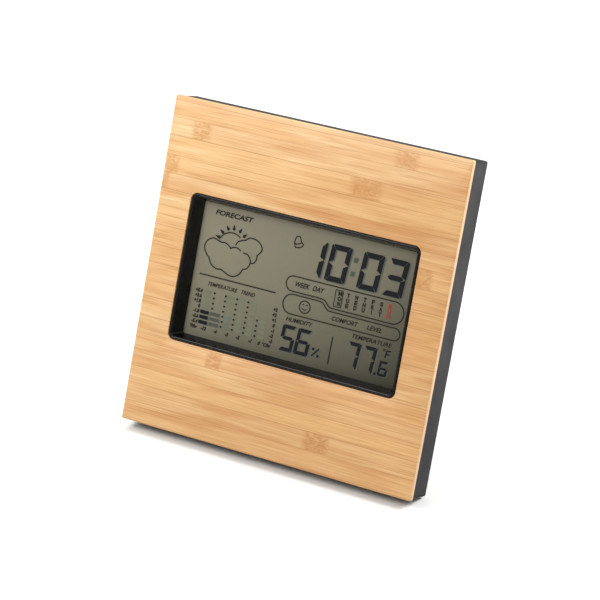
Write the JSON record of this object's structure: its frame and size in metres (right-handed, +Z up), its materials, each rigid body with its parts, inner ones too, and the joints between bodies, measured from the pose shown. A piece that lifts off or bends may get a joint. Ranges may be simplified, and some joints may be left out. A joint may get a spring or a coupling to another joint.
{
  "type": "home weather station",
  "caption": "Square bamboo-faced desk weather station that leans back on a fold-out leg, with a recessed display, rear push buttons, battery door and wall keyhole.",
  "frame": {"origin": "centre of the bounding box's bottom face, on the table that the station stands on", "axes": "+X to the reader's right across the face, -Y from the station towards the reader, +Z up; the slab leans back 20 degrees about X"},
  "size_m": [0.133, 0.0602, 0.1298],
  "materials": {
    "bamboo": "laminated bamboo board, satin lacquer",
    "case_abs": "charcoal moulded ABS, fine spark texture",
    "bezel_gloss": "polished black ABS",
    "tape": "double-sided foam tape",
    "lcd_face": "anti-glare polarising film over a grey-green reflective display",
    "lcd_glass": "clear display glass",
    "lcd_reflector": "satin reflector foil",
    "white_abs": "white moulded plastic",
    "silicone": "grey silicone rubber",
    "circuit_board": "green solder mask on glass-fibre board",
    "epoxy": "black potting epoxy",
    "steel": "nickel-plated steel",
    "brass": "bare brass sheet",
    "cell_wrap": "printed shrink sleeve",
    "rubber": "black rubber",
    "black_abs": "black moulded ABS",
    "screw_steel": "black-zinc self-tapping screws",
    "red_lead": "red PVC insulation",
    "black_lead": "black PVC insulation"
  },
  "bodies": {
    "case": {"bamboo_plate": "bamboo", "base_pad_left": "rubber", "base_pad_right": "rubber", "battery_cell_lower": "cell_wrap", "battery_cell_upper": "cell_wrap", "battery_lead_minus": "black_lead", "battery_lead_plus": "red_lead", "battery_link_plate": "steel", "bezel_frame": "bezel_gloss", "board_screw_1": "screw_steel", "board_screw_2": "screw_steel", "board_screw_3": "screw_steel", "board_screw_4": "screw_steel", "buzzer_lead_minus": "black_lead", "buzzer_lead_plus": "red_lead", "cell_spring_left": "steel", "cell_spring_right": "steel", "chip_blob": "epoxy", "clock_crystal": "steel", "cover_screw_1": "screw_steel", "cover_screw_2": "screw_steel", "cover_screw_3": "screw_steel", "cover_screw_4": "screw_steel", "front_housing": "case_abs", "front_polariser": "lcd_face", "humidity_sensor": "white_abs", "lcd_front_glass": "lcd_glass", "lcd_rear_glass": "lcd_glass", "lcd_reflector": "lcd_reflector", "lcd_tray": "white_abs", "leg_hinge_pin": "steel", "main_board": "circuit_board", "minus_contact": "steel", "piezo_buzzer": "brass", "plate_tape": "tape", "plus_contact": "steel", "rear_cover": "case_abs", "sensor_board": "circuit_board", "sensor_lead": "black_lead", "silicone_keypad": "silicone", "supply_capacitor": "black_abs", "thermistor": "epoxy", "zebra_strip_bottom": "silicone", "zebra_strip_top": "silicone"},
    "leg": {"fold_out_leg": "case_abs", "leg_foot_pad": "rubber"},
    "door": {"battery_door": "case_abs"},
    "key_1": {"button_1": "black_abs"},
    "key_2": {"button_2": "black_abs"},
    "key_3": {"button_3": "black_abs"},
    "key_4": {"button_4": "black_abs"},
    "key_5": {"button_5": "black_abs"},
    "key_6": {"button_6": "black_abs"}
  },
  "joints": [
    {"name": "leg_hinge", "type": "hinge", "parent": "case", "child": "leg", "pos_m": [0, 0.00832, 0.06112], "axis": [-1, 0, 0], "range_deg": [0, 35]},
    {"name": "door_hinge", "type": "hinge", "parent": "case", "child": "door", "pos_m": [-0.027, 0.02193, 0.09325], "axis": [-1, 0, 0], "range_deg": [0, 70]},
    {"name": "button_1_press", "type": "slide", "parent": "case", "child": "key_1", "axis": [0, -0.9397, 0.342], "range_m": [0, 0.0008], "stiffness_N_per_m": 900, "springref_m": -0.0006},
    {"name": "button_2_press", "type": "slide", "parent": "case", "child": "key_2", "axis": [0, -0.9397, 0.342], "range_m": [0, 0.0008], "stiffness_N_per_m": 900, "springref_m": -0.0006},
    {"name": "button_3_press", "type": "slide", "parent": "case", "child": "key_3", "axis": [0, -0.9397, 0.342], "range_m": [0, 0.0008], "stiffness_N_per_m": 900, "springref_m": -0.0006},
    {"name": "button_4_press", "type": "slide", "parent": "case", "child": "key_4", "axis": [0, -0.9397, 0.342], "range_m": [0, 0.0008], "stiffness_N_per_m": 900, "springref_m": -0.0006},
    {"name": "button_5_press", "type": "slide", "parent": "case", "child": "key_5", "axis": [0, -0.9397, 0.342], "range_m": [0, 0.0008], "stiffness_N_per_m": 900, "springref_m": -0.0006},
    {"name": "button_6_press", "type": "slide", "parent": "case", "child": "key_6", "axis": [0, -0.9397, 0.342], "range_m": [0, 0.0008], "stiffness_N_per_m": 900, "springref_m": -0.0006}
  ]
}
